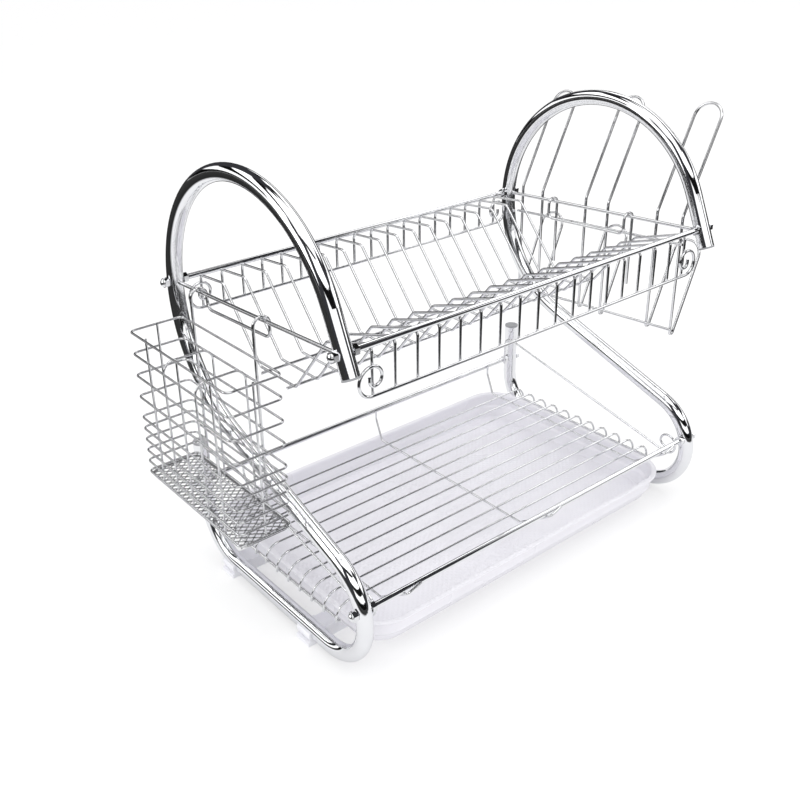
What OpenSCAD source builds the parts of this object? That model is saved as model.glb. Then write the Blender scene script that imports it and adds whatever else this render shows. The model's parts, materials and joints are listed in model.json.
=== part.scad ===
// Dish drying rack: two bent side tubes, an upper plate rack, a lower bowl rack,
// a drip tray, a cutlery basket on the left and a cup holder on the right.
// Millimetres, +Z up, +Y to the back, +X to the right; the table is at z = 0.

/* [Overall] */
// width over the two side tubes
rack_width = 420; // [350:2:510]
// height of the side tubes' underside above the table
foot_base = 3; // [2:0.5:6]

/* [Side tubes] */
// outside diameter of the side tubes
tube_d = 14; // [12:1:16]
// wall of the side tubes
tube_wall = 1.2; // [0.8:0.1:2]
// slope of the front leg from level
leg_angle = 67; // [60:1:75]
// straight length of the front leg
leg_length = 48; // [40:1:70]
// bend radius of the hoop, at the tube's centre
hoop_r = 118; // [98:1:142]
// straight length between hoop and toe
diagonal_length = 152; // [140:1:185]
// slope of that straight from level
diagonal_rise = 20; // [16:1:24]
// bend radius of the toe
toe_r = 48; // [44:1:58]
// straight length on the table
base_length = 138; // [130:1:166]
// bend radius of the heel
heel_r = 54; // [48:1:60]
// straight length of the rear post
post_length = 53; // [48:1:64]

/* [Rails and nuts] */
// diameter of the four rails
rail_d = 5; // [4:0.5:6]
// distance of the upper front rail from the leg's free end
upper_front_inset = 17; // [14:1:20]
// place of the upper rear rail on the hoop, in degrees above its centre
upper_rear_angle = 2.6; // [0:0.1:6]
// place of the lower front rail on the toe, in degrees above its centre
lower_front_angle = 16.8; // [12:0.2:22]
// distance of the lower rear rail below the post's top
lower_rear_drop = 39; // [24:1:44]
// width across the flats of the nuts
nut_flats = 8; // [7:0.5:10]
// height of the hexagon of the nuts
nut_height = 4; // [3:0.5:5]
// how far a rail reaches into a cap nut
rail_reach = 3; // [2:0.5:4]

/* [Plate rack] */
// number of plate wires
plate_count = 18; // [10:1:20]
// diameter of the plate wires
plate_d = 2.3; // [2:0.1:3]
// distance of the outermost plate wires from the side tubes
plate_margin = 17; // [15:1:30]
// level distance from the front rail to the front shoulder
shoulder_run = 53; // [45:1:60]
// drop from the front rail to the front shoulder
shoulder_drop = 16; // [10:1:20]
// level distance from the front rail to the trough
trough_run = 98; // [90:1:110]
// drop from the front rail to the trough
trough_drop = 70; // [58:1:84]
// level length of the trough
trough_length = 51; // [45:1:65]
// level distance from the rear rail to the rear shoulder
rear_shoulder_run = 40; // [18:1:44]
// drop from the rear rail to the rear shoulder
rear_shoulder_drop = -2; // [-3:1:14]
// bend radius of the plate wires
plate_bend = 5; // [4:0.5:7]
// length of the upright ends below the front rail
front_upright = 39; // [32:1:46]
// length of the upright ends below the rear rail
rear_upright = 30; // [25:1:36]
// diameter of the curl bars and the bars under the trough
bar_d = 2.6; // [2.4:0.1:4]
// outer bend radius of the curls
curl_r = 11.5; // [9:0.5:11.5]

/* [Bowl rack] */
// number of floor wires
bowl_count = 11; // [7:1:13]
// diameter of the floor wires
bowl_d = 2; // [1.8:0.1:3]
// height of the floor wires
bowl_height = 50; // [49:1:56]
// how far the ends of the floor wires turn down
bowl_turndown = 14; // [12:0.5:15]
// distance of the first floor wire behind the lower front rail
bowl_front_gap = 40; // [38:1:50]
// distance of the last floor wire in front of the lower rear rail
bowl_rear_gap = 26; // [25:1:34]
// diameter of the cross bars and the end wires
cross_d = 2.2; // [2:0.1:3]
// distance of the outer cross bars from the middle
cross_spacing = 163; // [130:1:165]
// length of the hook at the front of a cross bar
cross_hook = 16; // [12:1:20]
// slope of the end wires from level
end_wire_rise = 13.6; // [11:0.2:15]
// bend radius of the end wires' front curl
end_curl_r = 9.5; // [8:0.5:10]

/* [Feet and drip tray] */
// length of a foot along the tube
foot_length = 18; // [14:1:24]
// width of a foot's base
foot_width = 20; // [18:1:24]
// distance of the front feet behind the toe bend
front_foot_place = 26; // [15:1:40]
// distance of the rear feet in front of the heel bend
rear_foot_place = -8; // [-10:1:30]
// height of the tray's underside
tray_bottom = 12; // [11:0.5:16]
// height of the tray's rim
tray_top = 39; // [34:1:42]
// depth of the tray from front to back
tray_depth = 246; // [200:1:248]
// corner radius of the tray's rim
tray_corner = 36; // [26:1:44]
// wall of the tray
tray_wall = 1.6; // [1.2:0.1:2.4]

/* [Cutlery basket] */
// length of the basket from front to back
basket_length = 150; // [130:1:170]
// width of the basket, out from the rack
basket_width = 48; // [40:1:60]
// height of the basket's lowest ring
basket_low = 118; // [112:1:126]
// number of rings in the close set at the bottom
close_rings = 6; // [4:1:6]
// spacing of those rings
close_pitch = 10.6; // [9:0.2:10.6]
// number of rings in the open set at the top
open_rings = 4; // [3:1:4]
// spacing of those rings
open_pitch = 19.5; // [18:0.5:19.5]
// diameter of the basket's wires
basket_d = 1.9; // [1.6:0.1:2.6]
// distance of the basket's middle behind the rack's middle
basket_place = 24; // [14:1:28]
// corner radius of the rings
ring_corner = 5; // [4:0.5:14]

/* [Hooks and hanging wires] */
// diameter of the hanging wires
hanging_d = 3.2; // [3:0.1:4]
// diameter of the hook wires
hook_d = 2.6; // [2.4:0.1:3.4]
// spacing of the two hooks of a holder
hook_spacing = 95; // [80:1:105]
// how far the hook's inner leg drops below its top
hook_drop = 20; // [16:1:24]

/* [Cup holder] */
// number of cup loops
loop_count = 3; // [2:1:3]
// spacing of the loops
loop_pitch = 86; // [72:1:90]
// width of a loop
loop_width = 28; // [24:1:32]
// height of the loops' upper bends at the middle one
loop_bend = 281; // [275:1:285]
// height of the loops' tops at the middle one
loop_top = 378; // [350:1:400]
// height of the loops' lowest point at the middle one
loop_low = 152; // [150:1:170]
// how far the loops' outer ends stand below their upper bends
loop_end_drop = 34; // [20:1:45]
// diameter of the loop wires
loop_d = 2.6; // [2.4:0.1:3.4]
// height of the upper bar at the middle loop
upper_bar = 255; // [245:1:262]
// height of the lower bar at the middle loop
lower_bar = 168; // [166:1:190]
// length of the two bars
cup_bar_length = 209; // [200:1:218]

/* [Hidden] */
$fn = 24;

// how far a straight runs into the bend it joins
lap = 0.2;
// how much fatter a bend is than the straights it joins
bend_growth = 0.04;
// shortest straight left between two bends
joint = 0.1;
// how deep two welded wires sink into each other
weld = 0.1;
// gap round a rail in its hole
rail_clearance = 0.2;
// gap round a rail in its nut
nut_clearance = 0.05;
// gap between pieces that slide or lift apart
gap = 0.5;
// gap under a hook on its hanging wire
hook_gap = 0.3;

function heading(a) = [cos(a), sin(a)];
function left_of(a) = [-sin(a), cos(a)];
function unit(v) = v / norm(v);
function side(x, pts) = [for (p = pts) [x, p[0], p[1]]];
function front(y, pts) = [for (p = pts) [p[0], y, p[1]]];
function reversed(v) = [for (i = [len(v) - 1 : -1 : 0]) v[i]];

// the side tube's centre line in the side plane, from the front leg's free end
tube_x = rack_width / 2 - tube_d / 2;
inner_face = tube_x - tube_d / 2;
outer_face = rack_width / 2;
fall = diagonal_rise - 180;
hoop_lead = (toe_r + hoop_r) * sin(fall) - diagonal_length * cos(fall) + hoop_r;
rear_lead = max(hoop_lead, base_length + heel_r);
base_start = [(toe_r - rear_lead) / 2, foot_base + tube_d / 2];
base_end = base_start + [base_length, 0];
toe_c = base_start + [0, toe_r];
toe_start = toe_c - toe_r * left_of(fall);
hoop_end = toe_start - diagonal_length * heading(fall);
hoop_c = hoop_end - hoop_r * left_of(fall);
hoop_start = hoop_c + hoop_r * left_of(leg_angle);
leg_end = hoop_start - leg_length * heading(leg_angle);
heel_c = base_end + [0, heel_r];
post_start = heel_c + [heel_r, 0];
post_end = post_start + [0, post_length];

// the rails' places in the side plane
upper_front = leg_end + upper_front_inset * heading(leg_angle);
upper_rear = hoop_c + hoop_r * heading(upper_rear_angle);
lower_front = toe_c + toe_r * [-cos(lower_front_angle), sin(lower_front_angle)];
lower_rear = post_end - [0, lower_rear_drop];

// hanging wires, from the leg's inner face to the hoop's inner face
hang_front = upper_front - (tube_d / 2 - weld) * left_of(leg_angle);
hang_rear = upper_rear - (tube_d / 2 - weld) * heading(upper_rear_angle);
hang_slope = (hang_rear[1] - hang_front[1]) / (hang_rear[0] - hang_front[0]);
hang_into = 3;
function hang_z(y) = hang_front[1] + hang_slope * (y - hang_front[0]);
rack_slope = (upper_rear[1] - upper_front[1]) / (upper_rear[0] - upper_front[0]);

// plate wires
plate_reach = inner_face - plate_margin;
plate_pitch = 2 * plate_reach / (plate_count - 1);
shoulder = upper_front + [shoulder_run, -shoulder_drop];
trough_front = upper_front + [trough_run, -trough_drop];
trough_rear = trough_front + [trough_length, 0];
rear_shoulder = upper_rear - [rear_shoulder_run, rear_shoulder_drop];

// the corner of a wire whose bend touches a rail from inside the bend's far side
function corner_at(rail, before, after, r, d) =
    let (u = unit(rail - before))
    let (v = unit(after - rail))
    let (half = acos(u * v) / 2)
    rail + (r + (rail_d + d) / 2 - weld - r / cos(half)) * unit(v - u);
front_corner = corner_at(upper_front, upper_front - [0, 1], shoulder, plate_bend, plate_d);
rear_corner = corner_at(upper_rear, rear_shoulder, upper_rear - [0, 1], plate_bend, plate_d);
plate_path = [
    [front_corner[0], upper_front[1] - front_upright - bar_d / 2],
    front_corner,
    shoulder,
    trough_front,
    trough_rear,
    rear_shoulder,
    rear_corner,
    [rear_corner[0], upper_rear[1] - rear_upright - bar_d / 2]
];
bar_touch = (bar_d + plate_d) / 2 - weld;
trough_bar_inset = 7;

// curls: a square spiral of bends, each tighter than the last
curl_radii = [curl_r, curl_r, 0.78 * curl_r, 0.57 * curl_r, 0.39 * curl_r];
curl_end = 3;
curl_tip = inner_face - 2 - bar_d / 2;
function coil(p, h, s, radii, i = 0) =
    i == len(radii) ? [p + curl_end * heading(h)] :
    let (q = p + (joint + radii[i]) * heading(h))
    concat([q], coil(q + radii[i] * heading(h + 90 * s), h + 90 * s, s, radii, i + 1));

// bowl rack
bowl_first = lower_front[0] + bowl_front_gap;
bowl_last = lower_rear[0] - bowl_rear_gap;
bowl_pitch = (bowl_last - bowl_first) / (bowl_count - 1);
bowl_end_x = tube_x - 3;
bowl_bar_x = bowl_end_x - (bowl_d + bar_d) / 2 + weld;
bowl_bar_z = bowl_height - bowl_turndown;
cross_touch = (cross_d + rail_d) / 2 - weld;
cross_z = bowl_height - (bowl_d + cross_d) / 2 + weld;
cross_fall = 35;
cross_lead = 5;
cross_bend = 4;
end_wire_x = inner_face - nut_height - gap - cross_d / 2 - 0.3;
end_wire_heading = 180 + end_wire_rise;
end_curl_c = lower_front + (end_curl_r + cross_touch + joint) * heading(-30);
end_curl_start = end_curl_c + end_curl_r * left_of(end_wire_heading);
end_curl_radii = [end_curl_r, end_curl_r, 0.84 * end_curl_r, 0.55 * end_curl_r];
end_wire_back_y = lower_rear[0] - cross_touch;
end_wire_back_z = end_curl_start[1] + (end_wire_back_y - end_curl_start[0]) * tan(end_wire_rise);

// drip tray
tray_half = inner_face - 4;
tray_rear = lower_rear[0] + 12;
tray_front = tray_rear - tray_depth;
tray_step = tray_bottom + 0.4 * (tray_top - tray_bottom);
tray_lip = 3.5;
tray_flare = 3;
ledge_reach = 24;

// cutlery basket
hook_x = outer_face + gap + hook_d / 2;
hook_in_x = inner_face + 1;
basket_in = hook_x + (hook_d + basket_d) / 2 - weld;
basket_out = basket_in + basket_width;
basket_front = basket_place - basket_length / 2;
basket_rear = basket_place + basket_length / 2;
basket_touch = basket_d - weld;
ring_heights = concat(
    [for (i = [0 : close_rings - 1]) basket_low + i * close_pitch],
    [for (i = [1 : open_rings]) basket_low + (close_rings - 1) * close_pitch + i * open_pitch]
);
basket_high = max(ring_heights);
basket_foot = basket_low - basket_d / 2 + 0.4;
divider_top = basket_high - 0.6 * open_pitch;
basket_hook_rear = basket_place + 12 + hook_spacing / 2;
hook_top_gap = (hanging_d + hook_d) / 2 + hook_gap;
function hook_top(y) = hang_z(y) + hook_top_gap;
mesh_strip = 1.2;
mesh_sheet = 0.8;
mesh_pitch = 7;

// cup holder
cup_bar_x = outer_face + gap + bar_d / 2;
loop_x = cup_bar_x + (bar_d + loop_d) / 2 - weld;
cup_hook_x = cup_bar_x - (bar_d + hook_d) / 2 + weld;
loop_tip_x = basket_out + (basket_d - loop_d) / 2;
loop_end_x = loop_tip_x - 9;
cup_middle = (hang_front[0] + hang_rear[0]) / 2 + 9;
function cup_z(z, y) = z + rack_slope * (y - cup_middle);
hairpin = loop_width / 2 - joint / 2;

module tube_colour() {
    color([0.86, 0.87, 0.89]) children();
}
module wire_colour() {
    color([0.8, 0.81, 0.83]) children();
}

module framed(x, y, z, p) {
    multmatrix([
        [x[0], y[0], z[0], p[0]],
        [x[1], y[1], z[1], p[1]],
        [x[2], y[2], z[2], p[2]],
        [0, 0, 0, 1]
    ]) children();
}

// a square to u, for the frame of a straight
function across(u) = unit(cross(u, abs(u[2]) < 0.9 ? [0, 0, 1] : [1, 0, 0]));
function turn(u, v) = acos(max(-1, min(1, u * v)));
function radius_at(r, i) = is_num(r) ? r : r[i];
function wrapped(pts, i) = pts[(i + len(pts)) % len(pts)];
function setback(pts, r, i, closed) =
    !closed && (i <= 0 || i >= len(pts) - 1) ? 0 :
    let (u = unit(wrapped(pts, i) - wrapped(pts, i - 1)))
    let (v = unit(wrapped(pts, i + 1) - wrapped(pts, i)))
    radius_at(r, i % len(pts)) * tan(turn(u, v) / 2);

// round wire along a run of corners, each rounded to the radius r
module wire(pts, r, d, closed = false) {
    n = len(pts);
    for (i = [0 : closed ? n - 1 : n - 2]) {
        a = wrapped(pts, i);
        b = wrapped(pts, i + 1);
        u = unit(b - a);
        from = setback(pts, r, i, closed) - (closed || i > 0 ? lap : 0);
        to = setback(pts, r, i + 1, closed) - (closed || i < n - 2 ? lap : 0);
        framed(across(u), cross(u, across(u)), u, a + from * u)
            cylinder(d = d, h = norm(b - a) - from - to);
    }
    for (i = closed ? [0 : n - 1] : [1 : n - 2]) {
        u = unit(pts[i] - wrapped(pts, i - 1));
        v = unit(wrapped(pts, i + 1) - pts[i]);
        k = unit(cross(u, v));
        m = cross(k, u);
        bend = radius_at(r, i);
        framed(-m, u, k, pts[i] - setback(pts, r, i, closed) * u + bend * m)
            rotate_extrude(angle = turn(u, v))
                translate([bend, 0]) circle(d = d + bend_growth);
    }
}

// a straight in the side plane, reaching past its two ends
module side_straight(a, b, d, before, after) {
    u = unit(b - a);
    translate(a - before * u)
        rotate([0, 0, atan2(u[1], u[0])])
            rotate([0, 90, 0]) cylinder(d = d, h = norm(b - a) + before + after, $fn = 48);
}

module side_bend(c, r, from, angle, d) {
    translate(c)
        rotate([0, 0, from])
            rotate_extrude(angle = angle, $fn = 48)
                translate([r, 0]) circle(d = d + bend_growth);
}

// the side tube's run, drawn for its outside and again for its bore
module side_run(d, past) {
    side_straight(leg_end, hoop_start, d, past, lap);
    side_bend(hoop_c, hoop_r, fall + 90, leg_angle - fall, d);
    side_straight(hoop_end, toe_start, d, lap, lap);
    side_bend(toe_c, toe_r, fall - 90, -fall, d);
    side_straight(base_start, base_end, d, lap, lap);
    side_bend(heel_c, heel_r, -90, 90, d);
    side_straight(post_start, post_end, d, lap, past);
}

module rail_hole(p) {
    translate([p[0], p[1], -tube_d])
        cylinder(d = rail_d + 2 * rail_clearance, h = 2 * tube_d);
}

module side_tube(x) {
    translate([x, 0, 0]) rotate([90, 0, 90]) difference() {
        side_run(tube_d, 0);
        side_run(tube_d - 2 * tube_wall, 1);
        rail_hole(upper_front);
        rail_hole(upper_rear);
        rail_hole(lower_front);
        rail_hole(lower_rear);
    }
}

module left_side_tube() {
    tube_colour() side_tube(-tube_x);
}

module right_side_tube() {
    tube_colour() side_tube(tube_x);
}

plug_cap = 1.6;
plug_stem = 10;
plug_clearance = 0.1;

// a plug whose cap stands out along the local +Z
module plug() {
    cylinder(d = tube_d, h = plug_cap, $fn = 48);
    translate([0, 0, -plug_stem])
        cylinder(d = tube_d - 2 * tube_wall - 2 * plug_clearance, h = plug_stem + 0.5, $fn = 48);
}

module tube_plugs() {
    color([0.55, 0.56, 0.58]) for (s = [-1, 1]) {
        translate([s * tube_x, leg_end[0], leg_end[1]])
            rotate([90 + leg_angle, 0, 0]) plug();
        translate([s * tube_x, post_end[0], post_end[1]]) plug();
    }
}

module rail(p) {
    reach = outer_face + rail_reach;
    tube_colour() translate([-reach, p[0], p[1]])
        rotate([0, 90, 0]) cylinder(d = rail_d, h = 2 * reach, $fn = 32);
}

module upper_front_rail() {
    rail(upper_front);
}

module upper_rear_rail() {
    rail(upper_rear);
}

module lower_front_rail() {
    rail(lower_front);
}

module lower_rear_rail() {
    rail(lower_rear);
}

nut_corner = nut_flats / cos(30);
dome_r = nut_flats / 2 - 0.1;

// a cap nut that stands out along the local +Z from z = 0
module cap_nut() {
    difference() {
        union() {
            linear_extrude(height = nut_height) circle(d = nut_corner, $fn = 6);
            translate([0, 0, nut_height - 1.2]) sphere(r = dome_r, $fn = 32);
        }
        translate([0, 0, -dome_r - 1])
            cylinder(d = rail_d + 2 * nut_clearance, h = rail_reach + 0.4 + dome_r + 1);
    }
}

module hex_nut() {
    difference() {
        linear_extrude(height = nut_height) circle(d = nut_corner, $fn = 6);
        translate([0, 0, -1])
            cylinder(d = rail_d + 2 * nut_clearance, h = nut_height + 2);
    }
}

// children at both ends of all four rails, local +Z pointing out
module at_crossings(x) {
    for (p = [upper_front, upper_rear, lower_front, lower_rear])
        for (s = [-1, 1])
            translate([s * x, p[0], p[1]]) rotate([0, s * 90, 0]) children();
}

module cap_nuts() {
    color([0.78, 0.79, 0.82]) at_crossings(outer_face) cap_nut();
}

module hex_nuts() {
    color([0.72, 0.73, 0.76]) at_crossings(inner_face - nut_height) hex_nut();
}

// a hanging wire, its two ends shaped to the tube that they are welded to
module hanging_wire(x) {
    u = unit(hang_rear - hang_front);
    wire_colour() difference() {
        wire(side(x, [hang_front - hang_into * u, hang_rear + hang_into * u]), 0, hanging_d);
        translate([x, 0, 0]) rotate([90, 0, 90]) side_run(tube_d, 0);
    }
}

module left_hanging_wire() {
    hanging_wire(-tube_x);
}

module right_hanging_wire() {
    hanging_wire(tube_x);
}

module plate_wires() {
    wire_colour() for (i = [0 : plate_count - 1])
        wire(side(-plate_reach + i * plate_pitch, plate_path), plate_bend, plate_d);
}

// a bar across the rack with a curl up at each end
module curl_bar(y, z) {
    half = coil([curl_tip - curl_r - joint, z], 0, 1, curl_radii);
    other = reversed([for (p = half) [-p[0], p[1]]]);
    radii = concat([0], reversed(curl_radii), curl_radii, [0]);
    wire_colour() wire(front(y, concat(other, half)), radii, bar_d);
}

module front_curl_bar() {
    curl_bar(front_corner[0] - bar_touch, upper_front[1] - front_upright);
}

module rear_curl_bar() {
    curl_bar(rear_corner[0] - bar_touch, upper_rear[1] - rear_upright);
}

module valley_bars() {
    reach = plate_reach + 4;
    z = trough_front[1] - bar_touch;
    wire_colour() for (y = [trough_front[0] + trough_bar_inset, trough_rear[0] - trough_bar_inset])
        wire([[-reach, y, z], [reach, y, z]], 0, bar_d);
}

module bowl_floor_wires() {
    foot = bowl_bar_z - bar_d / 2;
    path = [
        [-bowl_end_x, foot],
        [-bowl_end_x, bowl_height],
        [bowl_end_x, bowl_height],
        [bowl_end_x, foot]
    ];
    wire_colour() for (i = [0 : bowl_count - 1])
        wire(front(bowl_first + i * bowl_pitch, path), bowl_turndown, bowl_d);
}

module bowl_end_bars() {
    wire_colour() for (s = [-1, 1])
        wire([[s * bowl_bar_x, bowl_first - 3, bowl_bar_z], [s * bowl_bar_x, bowl_last + 3, bowl_bar_z]], 0, bar_d);
}

module bowl_cross_bar(x) {
    along = heading(-cross_fall);
    tip = lower_front - cross_touch * left_of(-cross_fall) - cross_lead * along;
    sunk = tip + (tip[1] - cross_z) / sin(cross_fall) * along;
    hook_end = lower_front + cross_touch * [-cos(20), sin(20)];
    back = lower_rear[0] - cross_touch;
    path = [
        [x + cross_hook, hook_end[0], hook_end[1]],
        [x, tip[0], tip[1]],
        [x, sunk[0], cross_z],
        [x, back - 9, cross_z],
        [x, back, lower_rear[1] - 8],
        [x, back, lower_rear[1] + 2]
    ];
    wire(path, [0, 2, cross_bend, cross_bend, cross_bend, 0], cross_d);
}

module bowl_cross_bars() {
    wire_colour() for (x = [-cross_spacing, 0, cross_spacing])
        bowl_cross_bar(x);
}

module bowl_end_wires() {
    curl = coil(end_curl_start - joint * heading(end_wire_heading), end_wire_heading, -1, end_curl_radii);
    path = concat([[end_wire_back_y, lower_rear[1] - 3], [end_wire_back_y, end_wire_back_z]], curl);
    radii = concat([0, end_curl_r], end_curl_radii, [0]);
    wire_colour() for (s = [-1, 1])
        wire(side(s * end_wire_x, path), radii, cross_d);
}

foot_clearance = 0.05;
clip_wall = 2.2;
clip_top = foot_base + tube_d / 2 + 3;

// a clip round the right-hand base tube, with a ledge towards the middle
module clip_body() {
    translate([-foot_width / 2, -foot_length / 2, 0])
        cube([foot_width, foot_length, foot_base + 1]);
    intersection() {
        translate([0, foot_length / 2, foot_base + tube_d / 2])
            rotate([90, 0, 0]) cylinder(d = tube_d + 2 * clip_wall, h = foot_length, $fn = 48);
        translate([-tube_d, -foot_length, 0.5])
            cube([2 * tube_d, 2 * foot_length, clip_top - 0.5]);
    }
    translate([-tube_d / 2 - ledge_reach, -foot_length / 2, 0])
        cube([ledge_reach + 1, foot_length, tray_bottom - hook_gap]);
}

// the part of the side tube that a foot may hold, with its clearance
module held_run() {
    d = tube_d + 2 * foot_clearance;
    side_straight(base_start, base_end, d, 0, lap);
    side_bend(heel_c, heel_r, -90, 60, d);
}

module clip_foot(y) {
    difference() {
        translate([tube_x, y, 0]) clip_body();
        translate([tube_x, 0, 0]) rotate([90, 0, 90]) held_run();
    }
}

module clip_feet() {
    color([0.9, 0.9, 0.93]) for (y = [base_start[0] + front_foot_place, base_end[0] - rear_foot_place]) {
        clip_foot(y);
        mirror([1, 0, 0]) clip_foot(y);
    }
}

// a pan with rounded corners whose wall leans out from z1 to z2
module pan(z1, inset1, z2, inset2) {
    hull() for (x = [-1, 1])
        for (y = [-1, 1])
            translate([
                x * (tray_half - tray_corner),
                (tray_front + tray_rear) / 2 + y * (tray_depth / 2 - tray_corner),
                z1
            ]) cylinder(r1 = tray_corner - inset1, r2 = tray_corner - inset2, h = z2 - z1, $fn = 32);
}

module drip_tray() {
    low = tray_lip + tray_flare;
    color([0.86, 0.85, 0.94, 0.7]) difference() {
        union() {
            pan(tray_bottom, low + tray_flare, tray_step, low);
            pan(tray_step - tray_wall, tray_lip + 2, tray_top, tray_lip);
            pan(tray_top - tray_wall, 0, tray_top, 0);
        }
        pan(tray_bottom + tray_wall, low + tray_flare + tray_wall, tray_step + 0.01, low + tray_wall);
        pan(tray_step, tray_lip + 2 + tray_wall, tray_top + 0.01, tray_lip + tray_wall);
    }
}

// one ring of the cutlery basket
module basket_ring(z) {
    wire([
        [-basket_in, basket_front, z],
        [-basket_in, basket_rear, z],
        [-basket_out, basket_rear, z],
        [-basket_out, basket_front, z]
    ], ring_corner, basket_d, true);
}

module basket_rings() {
    wire_colour() for (z = ring_heights)
        basket_ring(z);
}

// hooks over a hanging wire, one wire for both: down inside, along, and up again
module hook_wire(s, x_out, x_in, y1, y2, foot1, foot2) {
    bend = (x_out - x_in) / 2 - joint / 2;
    path = [
        [s * x_out, y1, foot1],
        [s * x_out, y1, hook_top(y1)],
        [s * x_in, y1, hook_top(y1)],
        [s * x_in, y1, hook_top(y1) - hook_drop],
        [s * x_in, y2, hook_top(y2) - hook_drop],
        [s * x_in, y2, hook_top(y2)],
        [s * x_out, y2, hook_top(y2)],
        [s * x_out, y2, foot2]
    ];
    wire_colour() wire(path, bend, hook_d);
}

module basket_hook_wire() {
    y1 = basket_hook_rear;
    hook_wire(-1, hook_x, hook_in_x, y1, y1 - hook_spacing, basket_foot, basket_foot);
}

module basket_uprights() {
    y_inset = [1 / 6, 1 / 2, 5 / 6];
    outer = -basket_out + basket_touch;
    middle = -(basket_in + basket_out) / 2;
    top = basket_high + basket_d / 2;
    wire_colour() {
        for (f = y_inset)
            wire([[outer, basket_front + f * basket_length, basket_foot], [outer, basket_front + f * basket_length, top]], 0, basket_d);
        for (y = [basket_front + basket_touch, basket_rear - basket_touch])
            wire([[middle, y, basket_foot], [middle, y, top]], 0, basket_d);
    }
}

module basket_dividers() {
    near = -basket_in - basket_touch;
    far = -basket_out + basket_touch;
    wire_colour() for (f = [1 / 3, 2 / 3]) {
        y = basket_front + f * basket_length;
        wire([[near, y, basket_foot], [near, y, divider_top], [far, y, divider_top], [far, y, basket_foot]], 10, basket_d);
    }
}

module basket_floor_mesh() {
    top = basket_low - basket_d / 2;
    length = basket_rear - basket_front;
    width = basket_out - basket_in;
    rows = floor((length - mesh_strip) / mesh_pitch);
    columns = floor((width - mesh_strip) / mesh_pitch);
    color([0.5, 0.5, 0.52]) {
        for (i = [0 : rows])
            translate([-basket_out, basket_front + i * (length - mesh_strip) / rows, top - mesh_sheet])
                cube([width, mesh_strip, mesh_sheet]);
        for (i = [0 : columns])
            translate([-basket_out + i * (width - mesh_strip) / columns, basket_front, top - 1.8 * mesh_sheet])
                cube([mesh_strip, length, mesh_sheet]);
    }
}

// one wire bent into a closed loop: hairpin on top, vee below, hairpin outside
module cup_loop(y) {
    near = y - loop_width / 2;
    far = y + loop_width / 2;
    top = cup_z(loop_top, y) - loop_d / 2;
    bend = cup_z(loop_bend, y);
    low = cup_z(loop_low, y);
    out = bend - loop_end_drop;
    wire([
        [loop_x, far, bend],
        [loop_tip_x, far, top],
        [loop_tip_x, near, top],
        [loop_x, near, bend],
        [loop_x, near, low],
        [loop_end_x, near, out],
        [loop_end_x, far, out],
        [loop_x, far, low]
    ], [10, hairpin, hairpin, 10, 2.5, hairpin, hairpin, 2.5], loop_d, true);
}

module cup_loops() {
    wire_colour() for (i = [0 : loop_count - 1])
        cup_loop(cup_middle + (i - (loop_count - 1) / 2) * loop_pitch);
}

module cup_bar(z) {
    y1 = cup_middle - cup_bar_length / 2;
    y2 = cup_middle + cup_bar_length / 2;
    wire_colour() wire([[cup_bar_x, y1, cup_z(z, y1)], [cup_bar_x, y2, cup_z(z, y2)]], 0, bar_d);
}

module cup_upper_bar() {
    cup_bar(upper_bar);
}

module cup_lower_bar() {
    cup_bar(lower_bar);
}

module cup_hook_wire() {
    y1 = cup_middle + hook_spacing / 2;
    y2 = cup_middle - hook_spacing / 2;
    foot = upper_bar - 48;
    hook_wire(1, cup_hook_x, hook_in_x, y1, y2, foot, foot);
}

// the piece to draw

left_side_tube();
right_side_tube();
tube_plugs();
upper_front_rail();
upper_rear_rail();
lower_front_rail();
lower_rear_rail();
cap_nuts();
hex_nuts();
left_hanging_wire();
right_hanging_wire();
plate_wires();
front_curl_bar();
rear_curl_bar();
valley_bars();
bowl_floor_wires();
bowl_end_bars();
bowl_cross_bars();
bowl_end_wires();
clip_feet();
drip_tray();
basket_rings();
basket_hook_wire();
basket_uprights();
basket_dividers();
basket_floor_mesh();
cup_loops();
cup_hook_wire();
cup_upper_bar();
cup_lower_bar();
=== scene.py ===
"""Dish drying rack: the visual model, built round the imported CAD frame."""

import json
import math

import bmesh
import bpy
import numpy as np
from bpy.props import FloatProperty, FloatVectorProperty, PointerProperty
from mathutils import Matrix, Vector


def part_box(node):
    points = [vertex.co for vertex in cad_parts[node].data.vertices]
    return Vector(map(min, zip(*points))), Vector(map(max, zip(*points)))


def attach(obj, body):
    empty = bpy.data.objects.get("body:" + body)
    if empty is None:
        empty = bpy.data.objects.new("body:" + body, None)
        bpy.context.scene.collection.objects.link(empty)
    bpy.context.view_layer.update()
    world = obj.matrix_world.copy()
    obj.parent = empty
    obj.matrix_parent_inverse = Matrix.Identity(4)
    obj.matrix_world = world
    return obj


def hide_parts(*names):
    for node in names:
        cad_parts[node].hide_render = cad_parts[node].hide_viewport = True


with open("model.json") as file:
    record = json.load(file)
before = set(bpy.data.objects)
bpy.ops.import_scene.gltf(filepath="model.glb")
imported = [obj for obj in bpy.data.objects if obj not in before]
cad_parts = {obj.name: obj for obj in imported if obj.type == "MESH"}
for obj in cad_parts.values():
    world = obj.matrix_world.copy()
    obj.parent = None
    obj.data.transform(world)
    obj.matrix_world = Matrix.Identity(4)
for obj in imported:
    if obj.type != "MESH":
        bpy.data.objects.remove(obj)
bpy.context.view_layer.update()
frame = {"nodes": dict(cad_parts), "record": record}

bl_info = {
    "name": "Dish drying rack",
    "version": (1, 0, 0),
    "blender": (4, 5, 0),
    "location": "View3D > Sidebar > Dish rack",
    "description": "Builds the looks of a two-tier dish drying rack round its frame",
    "category": "Object",
}

NODE_SLOTS = {s["node"]: s["material_slot"] for s in frame["record"]["subparts"]}

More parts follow.
